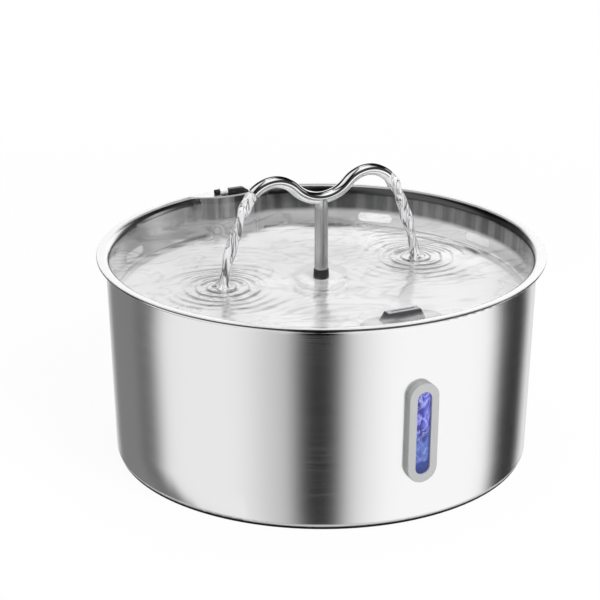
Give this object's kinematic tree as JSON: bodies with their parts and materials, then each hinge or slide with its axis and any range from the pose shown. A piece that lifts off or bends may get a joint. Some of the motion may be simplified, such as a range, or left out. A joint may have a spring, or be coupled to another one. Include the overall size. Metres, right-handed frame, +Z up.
{
  "type": "pet water fountain",
  "caption": "Round steel pet water fountain with a lift-out drinking tray, a swivelling wave spout, a water-level window, a filter and a submersible pump.",
  "frame": {"origin": "centre of the underside of the base ring, on the table", "axes": "+Z up, -Y towards the water-level window, +Y towards the power inlet, X along the spout's arms"},
  "size_m": [0.22, 0.2198, 0.1424],
  "materials": {
    "basin_steel": "brushed satin, bright vertical reflections",
    "tray_steel": "satin, polished rim",
    "spout_steel": "polished",
    "black_silicone": "matt",
    "bezel_grey": "satin",
    "lens_clear": "clear",
    "white_silicone": "matt",
    "white_plastic": "moulded",
    "screw_steel": "plain",
    "grey_silicone": "matt, translucent",
    "grey_plastic": "moulded",
    "dark_plastic": "moulded, satin",
    "carbon": "granular",
    "foam": "open cells",
    "pump_white": "moulded",
    "ceramic_white": "ground",
    "magnet_black": "sintered",
    "lamination": "stacked sheets",
    "copper": "enamelled wire",
    "board_green": "board with chips",
    "sponge_black": "open cells",
    "lamp_clear": "clear, lit blue",
    "lead_black": "smooth",
    "black_plastic": "gloss",
    "pale_plastic": "gloss"
  },
  "bodies": {
    "basin": {"basin": "basin_steel", "base_ring": "black_silicone", "window_bezel": "bezel_grey", "window_lens": "lens_clear", "window_gasket": "white_silicone", "window_clamp": "white_plastic", "window_screws": "screw_steel", "pump_housing": "pump_white", "suction_cups": "grey_silicone", "pump_back": "pump_white", "lead_grommet": "black_silicone", "rotor_shaft": "ceramic_white", "shaft_bush_rear": "black_silicone", "stator_core": "lamination", "stator_coil": "copper", "driver_board": "board_green", "riser_pipe": "white_plastic", "window_lamp": "lamp_clear", "pump_lead": "lead_black", "inlet_housing": "black_plastic", "socket_ring": "pale_plastic", "socket_pin": "screw_steel"},
    "tray": {"tray": "tray_steel", "tray_bush": "white_silicone"},
    "spout_sleeve": {"spout_sleeve": "pale_plastic"},
    "spout": {"spout_arms": "spout_steel", "spout_post": "spout_steel", "spout_collar": "black_silicone"},
    "filter": {"filter_cover": "grey_plastic", "filter_grip": "dark_plastic", "filter_basket": "white_plastic", "carbon_core": "carbon", "filter_foam": "foam"},
    "rotor": {"rotor_magnet": "magnet_black", "impeller": "white_plastic"},
    "pump_cover": {"pump_cover": "pump_white", "shaft_bush_front": "black_silicone", "intake_sponge": "sponge_black"}
  },
  "joints": [
    {"name": "tray_lift", "type": "slide", "parent": "basin", "child": "tray", "axis": [0, 0, 1], "range_m": [0, 0.1]},
    {"name": "filter_lift", "type": "slide", "parent": "tray", "child": "filter", "axis": [0, 0, 1], "range_m": [0, 0.065]},
    {"name": "spout_swivel", "type": "hinge", "parent": "tray", "child": "spout_sleeve", "pos_m": [0, 0, 0.085], "axis": [0, 0, 1], "continuous": true},
    {"name": "spout_lift", "type": "slide", "parent": "spout_sleeve", "child": "spout", "axis": [0, 0, 1], "range_m": [0, 0.04]},
    {"name": "impeller_spin", "type": "hinge", "parent": "basin", "child": "rotor", "pos_m": [0, 0, 0.0232], "axis": [0, -1, 0], "continuous": true},
    {"name": "pump_cover_pull", "type": "slide", "parent": "basin", "child": "pump_cover", "axis": [0, -1, 0], "range_m": [0, 0.03]}
  ]
}
